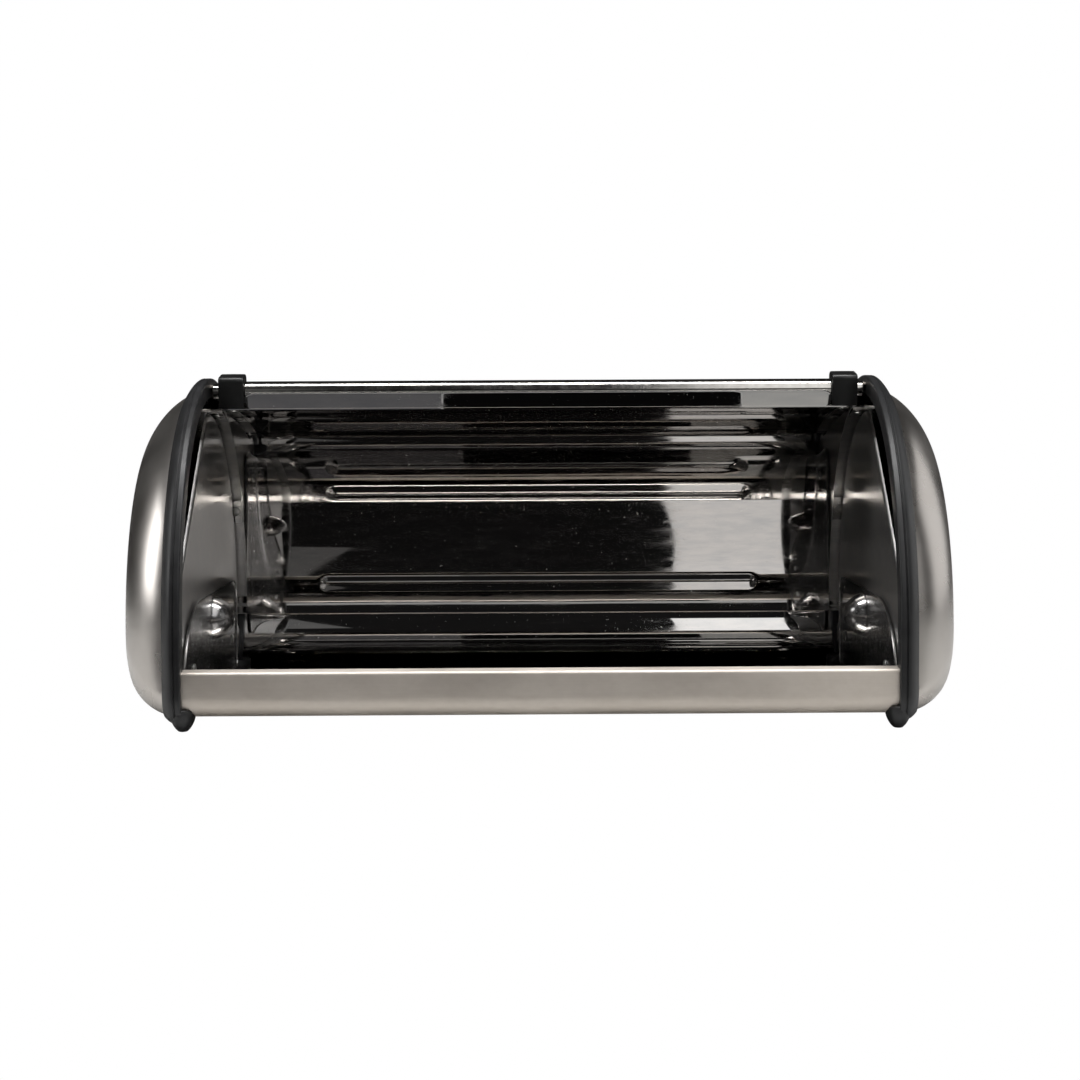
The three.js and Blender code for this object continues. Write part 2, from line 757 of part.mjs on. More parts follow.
place('floor_pan', floorPan(), 'brushedSteel');
place('back_top_shell', backTopShell(), 'brushedSteel');
placePair('end_trim', endTrim(), 'trimPlastic');
placePair('end_dome', endDome(), 'brushedSteel');
placePair('end_panel', endPanel(), 'mirrorSteel');
placePair('pivot_bracket', pivotBracket(), 'mirrorSteel');
placePair('bracket_rivet_front', bracketRivet(-bracketRivetReach), 'fastener');
placePair('bracket_rivet_rear', bracketRivet(bracketRivetReach), 'fastener');
placePair('pivot_pin', pivotPin(), 'fastener');
placePair('pivot_washer', pivotWasher(), 'fastener');
placePair('pivot_clip', pivotClip(), 'fastener');
place('lid_sheet', lidSheet(), 'mirrorSteel');
placePair('lid_arm', lidArm(), 'mirrorSteel');
placePair('pivot_bush', pivotBush(), 'nylon');
placePair('arm_rivet_rear', armRivet(armRivetAngles[0]), 'fastener');
placePair('arm_rivet_front', armRivet(armRivetAngles[1]), 'fastener');
place('handle_tube', handleTube(), 'polishedTube');
placePair('handle_spigot', handleSpigot(), 'polishedTube');
placePair('handle_mount', handleMount(), 'mountPlastic');
placePair('mount_screw', mountScrew(), 'fastener');

export default group;
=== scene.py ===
import math

import bpy
from mathutils import Matrix, Vector
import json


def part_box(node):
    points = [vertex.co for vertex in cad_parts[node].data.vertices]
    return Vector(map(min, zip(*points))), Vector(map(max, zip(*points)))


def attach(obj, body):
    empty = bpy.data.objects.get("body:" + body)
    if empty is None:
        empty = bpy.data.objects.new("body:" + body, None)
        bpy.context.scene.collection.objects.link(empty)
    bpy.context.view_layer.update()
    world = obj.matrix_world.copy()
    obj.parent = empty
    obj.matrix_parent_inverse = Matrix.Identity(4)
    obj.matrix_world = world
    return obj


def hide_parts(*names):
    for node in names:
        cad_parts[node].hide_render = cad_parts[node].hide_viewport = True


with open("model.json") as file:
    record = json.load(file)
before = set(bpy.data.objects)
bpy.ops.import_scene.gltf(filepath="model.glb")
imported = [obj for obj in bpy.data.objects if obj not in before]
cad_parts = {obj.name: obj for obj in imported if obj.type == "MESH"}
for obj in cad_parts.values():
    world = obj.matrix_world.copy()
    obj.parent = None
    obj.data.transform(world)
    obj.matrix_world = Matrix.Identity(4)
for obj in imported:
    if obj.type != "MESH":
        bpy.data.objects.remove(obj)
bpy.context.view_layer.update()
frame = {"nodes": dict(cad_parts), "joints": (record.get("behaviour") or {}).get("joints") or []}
scene = bpy.context.scene

mm = 0.001
axisZ = frame["joints"][0]["pos_m"][2] / mm  # height of the lid's axis


# sizes taken from the frame, in millimetres


def span(node):
    low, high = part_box(node)
    return low / mm, high / mm


trimHigh = span("right_end_trim")[1]
panLow, panHigh = span("floor_pan")
shellLow, shellHigh = span("back_top_shell")
domeLow, domeHigh = span("right_end_dome")
panelLow, panelHigh = span("right_end_panel")
bracketLow, bracketHigh = span("right_pivot_bracket")
lidHigh = span("lid_sheet")[1]
mountLow, mountHigh = span("right_handle_mount")
tubeLow, tubeHigh = span("handle_tube")
spigotLow, spigotHigh = span("right_handle_spigot")

sheet = 0.8  # steel thickness
gap = 0.3  # left between neighbours
edgeCapture = 2.2  # how far a trim reaches over the sheet edges
trimRadius = trimHigh.y
trimOuter = trimHigh.x
sheetEnd = panHigh.x
trimInner = sheetEnd - edgeCapture
shellRadius = shellHigh.y
shellMiddle = shellRadius - sheet / 2
lidRadius = lidHigh.y
lidHalf = lidHigh.x
tubeY = (tubeLow.y + tubeHigh.y) / 2
tubeZ = (tubeLow.z + tubeHigh.z) / 2
tubeRadius = (tubeHigh.y - tubeLow.y) / 2
tubeAngle = math.degrees(math.atan2(tubeZ - axisZ, tubeY))
floorMiddle = panLow.z + sheet / 2


# shared helpers


def linear(code):
    parts = [int(code[i : i + 2], 16) / 255 for i in (1, 3, 5)]
    return [p / 12.92 if p <= 0.04045 else ((p + 0.055) / 1.055) ** 2.4 for p in parts] + [1]


def addNode(tree, kind, values=None, links=None, **settings):
    node = tree.nodes.new(kind)
    for key, value in settings.items():
        setattr(node, key, value)
    for key, value in (values or {}).items():
        node.inputs[key].default_value = value
    for key, source in (links or {}).items():
        tree.links.new(source, node.inputs[key])
    return node


def combine(tree, operation, first, second=0.0):
    node = addNode(tree, "ShaderNodeMath", operation=operation)
    for slotIndex, value in enumerate((first, second)):
        if isinstance(value, (int, float)):
            node.inputs[slotIndex].default_value = value
        else:
            tree.links.new(value, node.inputs[slotIndex])
    return node.outputs[0]


def plus(tree, first, second):
    return combine(tree, "ADD", first, second)


def minus(tree, first, second):
    return combine(tree, "SUBTRACT", first, second)


def times(tree, first, second):
    return combine(tree, "MULTIPLY", first, second)


def arc(cy, cz, radius, start, end, steps):
    turns = [math.radians(start + (end - start) * i / steps) for i in range(steps + 1)]
    return [(cy + radius * math.cos(t), cz + radius * math.sin(t)) for t in turns]


def makePiece(name, points, faces, materials, chosen=None):
    mesh = bpy.data.meshes.new(name)
    mesh.from_pydata([(x * mm, y * mm, z * mm) for x, y, z in points], [], faces)
    for material in materials:
        mesh.materials.append(material)
    if chosen:
        for face, index in zip(mesh.polygons, chosen):
            face.material_index = index
    piece = bpy.data.objects.new(name, mesh)
    scene.collection.objects.link(piece)
    return piece


def settle(piece, angle=35):
    bpy.context.view_layer.update()
    graph = bpy.context.evaluated_depsgraph_get()
    mesh = bpy.data.meshes.new_from_object(piece.evaluated_get(graph))
    mesh.name = piece.name
    piece.modifiers.clear()
    piece.data = mesh
    mesh.shade_smooth()
    mesh.set_sharp_from_angle(angle=math.radians(angle))
    return piece


def ringFaces(count, rings, closeAround, closeAlong):
    faces = []
    for r in range(rings if closeAlong else rings - 1):
        here, onward = r * count, (r + 1) % rings * count
        for i in range(count if closeAround else count - 1):
            j = (i + 1) % count
            faces.append((here + i, here + j, onward + j, onward + i))
    return faces


def thicken(piece, thickness, inside=1, even=True):
    # the sheet grows both ways from its middle surface
    solid = piece.modifiers.new("thickness", "SOLIDIFY")
    solid.thickness = thickness * mm
    solid.offset = 0
    solid.use_even_offset = even
    solid.material_offset = inside
    solid.material_offset_rim = 0


def soften(piece, width=0.15):
    edge = piece.modifiers.new("edge", "BEVEL")
    edge.width = width * mm
    edge.segments = 2
    edge.limit_method = "ANGLE"


def capped(faces, count, total):
    # closes a body of rings at its first and last ring
    return faces + [tuple(reversed(range(count))), tuple(range(total - count, total))]


def lathe(profile, steps, along):
    points = []
    for radius, reach in profile:
        for i in range(steps):
            turn = 2 * math.pi * i / steps
            points.append(along(radius * math.cos(turn), radius * math.sin(turn), reach))
    return points, ringFaces(steps, len(profile), True, False)


def flipped(piece, name):
    mesh = piece.data.copy()
    mesh.name = name
    mesh.transform(Matrix.Scale(-1, 4, (1, 0, 0)))
    mesh.flip_normals()
    twin = bpy.data.objects.new(name, mesh)
    scene.collection.objects.link(twin)
    return twin


def adopt(piece, body, slotName, *nodes):
    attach(piece, body)
    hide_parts(*nodes)


def adoptPair(piece, body, slotName, stem, *nodes):
    adopt(piece, body, slotName, *["right_" + n for n in nodes])
    twin = flipped(piece, "left_" + stem)
    adopt(twin, body, slotName, *["left_" + n for n in nodes])


# finishes


def newMaterial(name):
    material = bpy.data.materials.new(name)
    material.use_nodes = True
    tree = material.node_tree
    tree.nodes.clear()
    place = addNode(tree, "ShaderNodeTexCoord").outputs["Object"]
    return material, tree, place


def pattern(tree, place, sizes, detail=3.0, roughness=0.5):
    scaled = addNode(
        tree,
        "ShaderNodeMapping",
        {"Scale": [1 / (s * mm) for s in sizes]},
        {"Vector": place},
    )
    noise = addNode(
        tree,
        "ShaderNodeTexNoise",
        {"Scale": 1.0, "Detail": detail, "Roughness": roughness},
        {"Vector": scaled.outputs[0]},
    )
    return noise.outputs["Fac"]


def between(tree, value, low, high, start=0.3, end=0.7):
    node = addNode(
        tree,
        "ShaderNodeMapRange",
        {"From Min": start, "From Max": end, "To Min": low, "To Max": high},
        {"Value": value},
    )
    return node.outputs["Result"]


def tinted(tree, value, dark, light):
    node = addNode(tree, "ShaderNodeMix", {6: linear(dark), 7: linear(light)}, data_type="RGBA")
    tree.links.new(value, node.inputs[0])
    return node.outputs[2]


def raised(tree, height, strength, distance, under=None):
    links = {"Height": height}
    if under:
        links["Normal"] = under
    node = addNode(tree, "ShaderNodeBump", {"Strength": strength, "Distance": distance * mm}, links)
    return node.outputs["Normal"]


def surface(tree, values, links):
    shader = addNode(tree, "ShaderNodeBsdfPrincipled", values, links)
    addNode(tree, "ShaderNodeOutputMaterial", links={"Surface": shader.outputs[0]})


brushing = {"length": 60, "width": 0.7, "bump": 0.05, "blotch": 38, "anisotropy": 0.6}


def brushedSteel():
    # long fine grain that draws reflections out across it, with faint warm handling blotches
    material, tree, place = newMaterial("brushed steel")
    grain = pattern(tree, place, (brushing["length"], brushing["width"], brushing["width"]), 4)
    # the grain is drawn about five times coarser than real so that it shows at arm's length
    blotch = pattern(tree, place, (brushing["blotch"],) * 3, 4, 0.6)
    fine = pattern(tree, place, (6, 3, 3), 4, 0.6)
    spread = plus(
        tree,
        between(tree, grain, 0.48, 0.56),
        between(tree, blotch, -0.03, 0.05),
    )
    wear = plus(tree, times(tree, blotch, 0.7), times(tree, fine, 0.3))
    links = {
        "Base Color": tinted(tree, between(tree, wear, 0, 1), "#cbc2b8", "#dcd4cb"),
        "Roughness": spread,
        "Normal": raised(tree, grain, brushing["bump"], 0.05),
        "Tangent": addNode(tree, "ShaderNodeTangent", direction_type="RADIAL", axis="X").outputs[0],
    }
    surface(tree, {"Metallic": 1.0, "Anisotropic": brushing["anisotropy"]}, links)
    return material


satin = {"cloud": 45, "bump": 0.03, "speckle": 1.1}


def satinSteel():
    # soft satin that turns the side light into broad bands, clouded where it was handled
    material, tree, place = newMaterial("satin steel")
    speckle = pattern(tree, place, (satin["speckle"],) * 3, 2, 0.7)
    cloud = pattern(tree, place, (satin["cloud"],) * 3, 3, 0.55)
    links = {
        "Base Color": tinted(tree, between(tree, cloud, 0, 1), "#c0bab4", "#cfcac5"),
        "Roughness": between(tree, cloud, 0.25, 0.33),
        "Normal": raised(tree, speckle, satin["bump"], 0.02),
    }
    surface(tree, {"Metallic": 1.0}, links)
    return material


mirror = {"waveHeight": 0.2, "ripple": 9}


def mirrorSteel(name, dark, light, wave, smooth, ripples):
    # thin polished sheet: reflections bend with the waviness and haze over where it was wiped
    material, tree, place = newMaterial(name)
    waves = pattern(tree, place, (wave * 1.6, wave, wave), 1, 0.4)
    ripple = pattern(tree, place, (mirror["ripple"] * 3, mirror["ripple"], mirror["ripple"]), 2, 0.5)
    wipe = pattern(tree, place, (22, 5, 5), 4, 0.6)
    dust = between(tree, pattern(tree, place, (1.3, 1.3, 1.3), 2, 0.7), 0, 1, 0.68, 0.74)
    haze = between(tree, wipe, smooth, smooth + 0.06, 0.42, 0.75)
    bend = raised(tree, waves, 0.6, mirror["waveHeight"])
    links = {
        "Base Color": tinted(tree, between(tree, wipe, 0, 1), dark, light),
        "Roughness": plus(tree, haze, times(tree, dust, 0.25)),
        "Normal": raised(tree, ripple, 0.35, ripples, bend),
    }
    surface(tree, {"Metallic": 1.0}, links)
    return material


def mouldedPlastic(name, dark, light, rough, grainSize):
    # matt moulded plastic: a fine even grain breaks the sheen, rubbed smoother in places
    material, tree, place = newMaterial(name)
    grain = pattern(tree, place, (grainSize,) * 3, 3, 0.6)
    rubbed = pattern(tree, place, (14, 14, 14), 4, 0.6)
    links = {
        "Base Color": tinted(tree, between(tree, rubbed, 0, 1), dark, light),
        "Roughness": plus(tree, between(tree, rubbed, rough - 0.06, rough + 0.06),
                             between(tree, grain, -0.03, 0.03)),
        "Normal": raised(tree, grain, 0.25, 0.06),
    }
    surface(tree, {"Specular IOR Level": 0.42}, links)
    return material


def turnedMetal(name, dark, light, rough):
    # turned and plated metal: faint rings round the piece and dulled patches
    material, tree, place = newMaterial(name)
    rings = pattern(tree, place, (0.5, 6, 6), 3)
    dulled = pattern(tree, place, (5, 5, 5), 3, 0.6)
    links = {
        "Base Color": tinted(tree, between(tree, dulled, 0, 1), dark, light),
        "Roughness": plus(tree, between(tree, rings, rough, rough + 0.06),
                             between(tree, dulled, 0, 0.05)),
        "Normal": raised(tree, rings, 0.12, 0.02),
    }
    surface(tree, {"Metallic": 1.0}, links)
    return material


def paleNylon():
    # bearing nylon: waxy off-white with a soft broad sheen
    material, tree, place = newMaterial("pale nylon")
    cloud = pattern(tree, place, (3, 3, 3), 3)
    links = {
        "Base Color": tinted(tree, between(tree, cloud, 0, 1), "#dcd8cc", "#ece9df"),
        "Roughness": between(tree, cloud, 0.42, 0.55),
        "Normal": raised(tree, cloud, 0.1, 0.03),
    }
    surface(tree, {"Subsurface Weight": 0.1, "Subsurface Scale": 0.001}, links)
    return material


brushed = brushedSteel()
domed = satinSteel()
lidMirror = mirrorSteel("polished lid steel", "#c4c3c2", "#d2cfcc", 95, 0.015, 0.008)
innerMirror = mirrorSteel("polished panel steel", "#bfbebf", "#cfcdca", 34, 0.17, 0.006)
panelSatin = mirrorSteel("half-polished panel steel", "#aaa9a9", "#bab8b5", 34, 0.32, 0.002)
foldSteel = mirrorSteel("folded lid steel", "#cbcac9", "#dbd9d6", 34, 0.30, 0.012)
bracketSteel = mirrorSteel("pressed bracket steel", "#a4a3a3", "#b4b2b0", 60, 0.21, 0.002)
trimBlack = mouldedPlastic("matt black plastic", "#1f1f20", "#29292a", 0.42, 0.7)
mountBlack = mouldedPlastic("satin black plastic", "#121212", "#191919", 0.38, 0.8)
tubeMetal = turnedMetal("polished tube steel", "#b9b6b1", "#d0cdc8", 0.10)
zinc = turnedMetal("zinc plated steel", "#9a9a98", "#b9b8b4", 0.28)
nylon = paleNylon()
print("finishes made")


# floor pan: flat floor, apron and ledge at the mouth, upturned back

pan = {
    "frontBend": 11.6,
    "rearBend": 30,
    "rearTop": 39,
    "apronTop": 31.6,
    "ledgeDepth": 15,
    "ledgeHem": 6,
    "ledgeBend": 1.3,
    "swageY": 85,
    "swageLength": 282,
    "swageWidth": 9,
    "swageHeight": 1.2,
}


def capsule(x, s, length, half, height):
    beyond = max(abs(x) - length / 2 + half, 0)
    share = min(math.hypot(beyond, s) / half, 1)
    return height * (0.5 + 0.5 * math.cos(math.pi * share))


def evenly(points, step):
    out = [points[0]]
    for (y0, z0), (y1, z1) in zip(points, points[1:]):
        length = math.hypot(y1 - y0, z1 - z0)
        count = max(1, int(length / step)) if length > 0.01 else 0
        for i in range(1, count + 1):
            out.append((y0 + (y1 - y0) * i / count, z0 + (z1 - z0) * i / count))
    return out


def columns(half, stops, coarse, fine, reach):
    found = [-half]
    while found[-1] < half:
        near = min(abs(abs(found[-1]) - s) for s in stops)
        found.append(min(found[-1] + (fine if near < reach else coarse), half))
    return found


def buildPan():
    rearY = shellMiddle - sheet - gap - pan["rearBend"]
    rearZ = floorMiddle + pan["rearBend"]
    frontY = -shellMiddle
    ledgeZ = pan["apronTop"] - sheet / 2
    bend = pan["frontBend"]
    lip = pan["ledgeBend"]
    path = [(rearY + pan["rearBend"], pan["rearTop"])]
    path += arc(rearY, rearZ, pan["rearBend"], 0, -90, 18)
    path += arc(frontY + bend, floorMiddle + bend, bend, -90, -180, 12)
    path += arc(frontY + lip, ledgeZ - lip, lip, 180, 90, 6)
    path += arc(frontY + pan["ledgeDepth"] - lip, ledgeZ - lip, lip, 90, 0, 6)
    path.append((frontY + pan["ledgeDepth"], ledgeZ - pan["ledgeHem"]))
    path = evenly(path, 2.2)
    across = columns(sheetEnd, [pan["swageLength"] / 2], 9, 1.2, 8)
    points = []
    for y, z in path:
        for x in across:
            rise = capsule(x, y - pan["swageY"], pan["swageLength"], pan["swageWidth"], pan["swageHeight"])
            points.append((x, y, z + (rise if z < floorMiddle + 2 else 0)))
    piece = makePiece(
        "floorPan",
        points,
        ringFaces(len(across), len(path), False, False),
        [brushed, lidMirror],
    )
    thicken(piece, sheet)
    return settle(piece, 40)


adopt(buildPan(), "body", "brushed_body", "floor_pan")
print("pan made")


# back and top sheet

shell = {"lap": 31.1, "lapAngle": 60}


def buildShell():
    rearY = shellMiddle - sheet - gap - pan["rearBend"]
    rearZ = floorMiddle + pan["rearBend"]
    frontAngle = math.degrees(math.acos(shellLow.y / shellMiddle))
    path = arc(0, axisZ, shellMiddle, frontAngle, 0, 70)
    path += arc(rearY, rearZ, shell["lap"], 0, -shell["lapAngle"], 14)
    across = columns(sheetEnd, [0], 16, 16, 1)
    points = [(x, y, z) for y, z in evenly(path, 4) for x in across]
    rows = len(points) // len(across)
    faces = ringFaces(len(across), rows, False, False)
    piece = makePiece("backTopShell", points, faces, [brushed, lidMirror])
    thicken(piece, sheet)
    return settle(piece, 40)


adopt(buildShell(), "body", "brushed_body", "back_top_shell")
print("shell made")


# plastic end trims with their feet

trim = {
    "depth": 11,
    "bottom": 3.4,
    "front": 16,
    "rear": 34.5,
    "edge": 1.1,
    "groove": 0.6,
    "groovePlace": 3.6,
    "grooveWidth": 0.7,
    "crown": 0.35,
    "shoulder": 7,
    "shoulderLow": 3,
    "rimWall": 0.6,
    "seat": 4.3,
    "grooveLead": 1.6,
    "shoulderSteps": 12,
}
feet = {
    "radius": 6.6,
    "height": 12,
    "pad": 2.4,
    "lip": 9,
    "offset": 0.6,
    "stretch": 1.45,
    "front": -124,
    "rear": 110,
    "steps": 40,
}


def endOutline(radius, bottom, front, rear, fine=1):
    return (
        arc(0, axisZ, radius, 0, 180, 96 * fine)
        + arc(-(radius - front), bottom + front, front, 180, 270, 12 * fine)
        + arc(radius - rear, bottom + rear, rear, 270, 360, 14 * fine)
    )


def trimOutline(inset):
    return endOutline(
        trimRadius - inset, trim["bottom"] + inset, trim["front"] - inset, trim["rear"] - inset
    )


def shoulderOutline(share, wall):
    low = trim["shoulderLow"] * share + wall
    side = trimRadius - trim["shoulder"] * share - wall
    return endOutline(side, trim["bottom"] + low, trim["front"] - low, trim["rear"] - low)


def trimMouth(inset):
    deep = trim["depth"] + inset
    floorTop = floorMiddle + sheet / 2
    return endOutline(trimRadius - deep, floorTop + inset, trim["front"] - deep, trim["rear"] - deep)


def footLobe():
    # a blunt cone that runs up into the trim
    high, lip = feet["height"], feet["lip"]
    pad, radius = feet["pad"], feet["radius"]
    profile = [(0, 0), (pad * 0.8, 0), (pad, 0.15), (pad + 0.4, 0.5)]
    for i in range(1, 9):
        turn = math.radians(90 * i / 8)
        flare = (radius - pad - 0.4) * math.sin(turn) ** 0.8
        profile.append((pad + 0.4 + flare, 0.5 + (lip - 0.5) * i / 8))
    profile += [(radius, high - 0.6), (radius - 0.6, high), (0, high)]
    return profile


def welded(piece):
    weld = piece.modifiers.new("weld", "WELD")
    weld.merge_threshold = 0.02 * mm
    return settle(piece)


def buildTrim():
    width = trimOuter - trimInner
    edge = trim["edge"]
    bends = [math.radians(a) for a in range(0, 91, 15)]
    section = [(edge * (1 - math.sin(a)), edge * (1 - math.cos(a))) for a in bends]
    middle = trim["groovePlace"]
    crown = trim["crown"]
    groove = [
        (-crown * 0.5, middle - trim["grooveLead"]),
        (-crown * 0.6, middle - trim["grooveWidth"]),
        (trim["groove"] * 0.6, middle - trim["grooveWidth"] * 0.5),
        (trim["groove"], middle),
        (trim["groove"] * 0.6, middle + trim["grooveWidth"] * 0.5),
        (-crown * 0.6, middle + trim["grooveWidth"]),
    ]
    section += [(max(inset, 0), x) for inset, x in groove]
    rings = [(trimOutline(i), trimInner + x) for i, x in section]
    start = middle + trim["grooveWidth"]
    for i in range(1, trim["shoulderSteps"] + 1):
        k = i / trim["shoulderSteps"]
        rings.append((shoulderOutline(k**1.5, 0), trimInner + start + (width - start) * k**0.9))
    rings.append((shoulderOutline(1, trim["rimWall"] * 0.5), trimOuter))
    rings.append((shoulderOutline(1, trim["rimWall"]), trimOuter - 0.3))
    rings.append((shoulderOutline(1, trim["rimWall"]), trimOuter - trim["seat"]))
    rings.append((trimMouth(0), trimOuter - trim["seat"]))
    for inset, x in ((0, 0.8), (-0.25, 0.2), (-0.8, 0)):  # the mouth's edge is rounded
        rings.append((trimMouth(inset), trimInner + x))
    count = len(rings[0][0])
    points = [(x, y, z) for outline, x in rings for y, z in outline]
    piece = makePiece("right_endTrim", points, ringFaces(count, len(rings), True, True), [trimBlack])
    for reach in (feet["front"], feet["rear"]):
        centre = trimInner + feet["offset"]
        steps = feet["steps"]
        lobePoints, lobeFaces = lathe(
            footLobe(), steps, lambda a, b, h: (centre + a, reach + b * feet["stretch"], h)
        )
        lobeFaces.append(tuple(range(len(lobePoints) - steps, len(lobePoints))))
        lobe = makePiece("lobe", lobePoints, lobeFaces, [trimBlack])
        lobe.data.flip_normals()
        welded(lobe)
        joined = piece.modifiers.new("foot", "BOOLEAN")
        joined.operation = "UNION"
        joined.solver = "EXACT"
        joined.object = lobe
        settle(piece)
        bpy.data.objects.remove(lobe)
    return settle(piece, 30)


adoptPair(buildTrim(), "body", "black_trim", "endTrim", "end_trim")
print("trims made")


# pressed end domes

dome = {
    "inset": 32.1,
    "bottomInset": 16,
    "power": 1.55,
    "flare": 16,
    "steps": 34,
    "plateau": (0.75, 0.5, 0.25, 0.08),
    "plateauRise": 22,
    "swell": 0.02,
}


def domeRing(share, inward):
    rise = (1 - (1 - min(share, 1)) ** dome["power"]) ** (1 / dome["power"])
    rim = trim["shoulderLow"] + trim["rimWall"] + gap
    side = trimRadius - trim["shoulder"] - trim["rimWall"] - gap - dome["inset"] * share - inward
    bottom = trim["bottom"] + rim + dome["bottomInset"] * share + inward
    room = axisZ - bottom - 0.5
    front = min(trim["front"] - rim + dome["flare"] * share - inward, room)
    rear = min(trim["rear"] - rim - inward, room)
    return endOutline(side, bottom, front, rear), rise


def buildDome():
    base = domeLow.x
    height = domeHigh.x - base
    rings = []
    for i in range(dome["steps"] + 1):
        share = 1 - math.cos(i / dome["steps"] * math.pi / 2) ** 1.5
        outline, rise = domeRing(share, sheet / 2)
        rings.append((outline, base + (height - sheet / 2) * rise))
    count = len(rings[0][0])
    points = [(x, y, z) for outline, x in rings for y, z in outline]
    middleZ = axisZ + dome["plateauRise"]
    last, crest = rings[-1]
    for k in dome["plateau"]:
        x = crest + dome["swell"] * (1 - k)
        points += [(x, y * k, middleZ + (z - middleZ) * k) for y, z in last]
    faces = ringFaces(count, len(rings) + len(dome["plateau"]), True, False)
    centre = len(points)
    points.append((crest + dome["swell"], 0, middleZ))
    final = centre - count
    faces += [(final + i, final + (i + 1) % count, centre) for i in range(count)]
    piece = makePiece("right_endDome", points, faces, [domed, innerMirror])
    thicken(piece, sheet, even=False)
    return settle(piece, 50)


adoptPair(buildDome(), "body", "brushed_dome", "endDome", "end_dome")
print("domes made")


# flat sheets drawn out from a centre: end panels and pivot brackets


def reachTo(outline, centreY, centreZ, turn):
    # distance from the centre to the outline in one direction
    best = 0
    dirY, dirZ = math.cos(turn), math.sin(turn)
    for (y0, z0), (y1, z1) in zip(outline, outline[1:] + outline[:1]):
        ey, ez = y1 - y0, z1 - z0
        cross = dirY * ez - dirZ * ey
        if abs(cross) < 1e-9:
            continue
        py, pz = y0 - centreY, z0 - centreZ
        along = (py * ez - pz * ey) / cross
        share = (py * dirZ - pz * dirY) / cross
        if along > 0 and -1e-6 <= share <= 1 + 1e-6:
            best = max(best, along)
    return best


def spokeSheet(name, centre, boundary, hole, fractions, edgeInsets, lift, x0, materials, turns=240):
    centreY, centreZ = centre
    reaches = [boundary(2 * math.pi * i / turns) for i in range(turns)]
    rings = [lambda r, f=f: hole + (r - edgeInsets[-1][0] - hole) * f for f in fractions]
    rings += [lambda r, e=e: r - e for e, _ in reversed(edgeInsets[:-1])]
    curls = [0] * len(fractions) + [c for _, c in reversed(edgeInsets[:-1])]
    points = []
    for ring, curl in zip(rings, curls):
        for i, reach in enumerate(reaches):
            turn = 2 * math.pi * i / turns
            radius = ring(reach)
            y, z = centreY + radius * math.cos(turn), centreZ + radius * math.sin(turn)
            points.append((x0 + curl + lift(radius, y, z), y, z))
    return makePiece(name, points, ringFaces(turns, len(rings), True, False), materials)


panel = {
    "radius": 116.8,
    "cutReach": 93,
    "cutAngle": 129,
    "shoulder": 28,
    "lip": [(0, 1.5), (0.15, 0.9), (0.5, 0.4), (1.1, 0.08), (1.9, 0)],
    "dent": 0.5,
    "hole": 4.3,
}


def buildPanel():
    mouth = trimMouth(gap)

    def boundary(turn):
        limit = panel["radius"]
        facing = math.cos(turn - math.radians(panel["cutAngle"]))
        if facing > 0.01:
            straight = panel["cutReach"] / facing
            limit = -4 * math.log(math.exp(-limit / 4) + math.exp(-straight / 4))
        wide = reachTo(mouth, 0, axisZ, turn)
        if axisZ + wide * math.sin(turn) < panel["shoulder"]:
            return wide
        return min(limit, wide)

    def lift(radius, y, z):
        # slow dents that fade out at the pivot and at the rim
        swell = math.sin(y / 21 + 0.8) * math.sin(z / 26)
        return panel["dent"] * swell * min(radius / 60, 1) * (1 - min(radius / 118, 1))

    fractions = [0, 0.08, 0.2, 0.35, 0.5, 0.65, 0.8, 0.9, 0.96, 1]
    middle = (panelLow.x + panelHigh.x) / 2
    piece = spokeSheet(
        "right_endPanel", (0, axisZ), boundary, panel["hole"], fractions,
        panel["lip"], lift, middle, [panelSatin],
    )
    thicken(piece, sheet, 0)
    return settle(piece, 50)


adoptPair(buildPanel(), "body", "mirror_panel", "endPanel", "end_panel")
print("panels made")

bracket = {
    "frontCorner": 62,
    "frontRise": 48,
    "rearCorner": 12,
    "bossRadius": 12.2,
    "bossHeight": 12.3,
    "lowGap": 0.2,
    "lip": [(0, -1.5), (0.12, -1.0), (0.45, -0.5), (1.0, -0.16), (1.9, 0)],
}


def buildBracket():
    low, high = bracketLow.z + bracket["lowGap"], bracketHigh.z
    front, rear = bracketLow.y, bracketHigh.y
    wide, tall, corner = bracket["frontCorner"], bracket["frontRise"], bracket["rearCorner"]
    outline = [(front, low), (rear, low)] + arc(rear - corner, high - corner, corner, 0, 90, 16)
    for i in range(33):
        turn = math.radians(90 + 90 * i / 32)
        outline.append((front + wide + wide * math.cos(turn), high - tall + tall * math.sin(turn)))
    radius, height = bracket["bossRadius"], bracket["bossHeight"]

    def bossRise(r):
        share = min(r / radius, 1)
        return -height * (1 - share**2.1) ** 0.66

    turns = 240
    middle = bracketHigh.x - sheet / 2
    inner = [radius * math.sin(math.radians(90 * i / 14)) for i in range(15)]
    reaches = [reachTo(outline, 0, axisZ, 2 * math.pi * i / turns) for i in range(turns)]
    points = []
    rings = [("r", r) for r in inner[1:]] + [("f", f) for f in (0.04, 0.12, 0.3, 0.5, 0.7, 0.85, 0.95, 1)]
    rings += [("e", e) for e in reversed(bracket["lip"][:-1])]
    for kind, amount in rings:
        for i, reach in enumerate(reaches):
            turn = 2 * math.pi * i / turns
            curl = 0
            if kind == "r":
                r = amount
            elif kind == "f":
                r = radius + (reach - bracket["lip"][-1][0] - radius) * amount
            else:
                r, curl = reach - amount[0], amount[1]
            points.append((middle + bossRise(r) + curl, r * math.cos(turn), axisZ + r * math.sin(turn)))
    faces = ringFaces(turns, len(rings), True, False)
    centre = len(points)
    points.append((middle - height, 0, axisZ))
    faces += [(centre, (i + 1) % turns, i) for i in range(turns)]
    piece = makePiece("right_pivotBracket", points, faces, [bracketSteel])
    thicken(piece, sheet, 0, even=False)
    return settle(piece, 60)


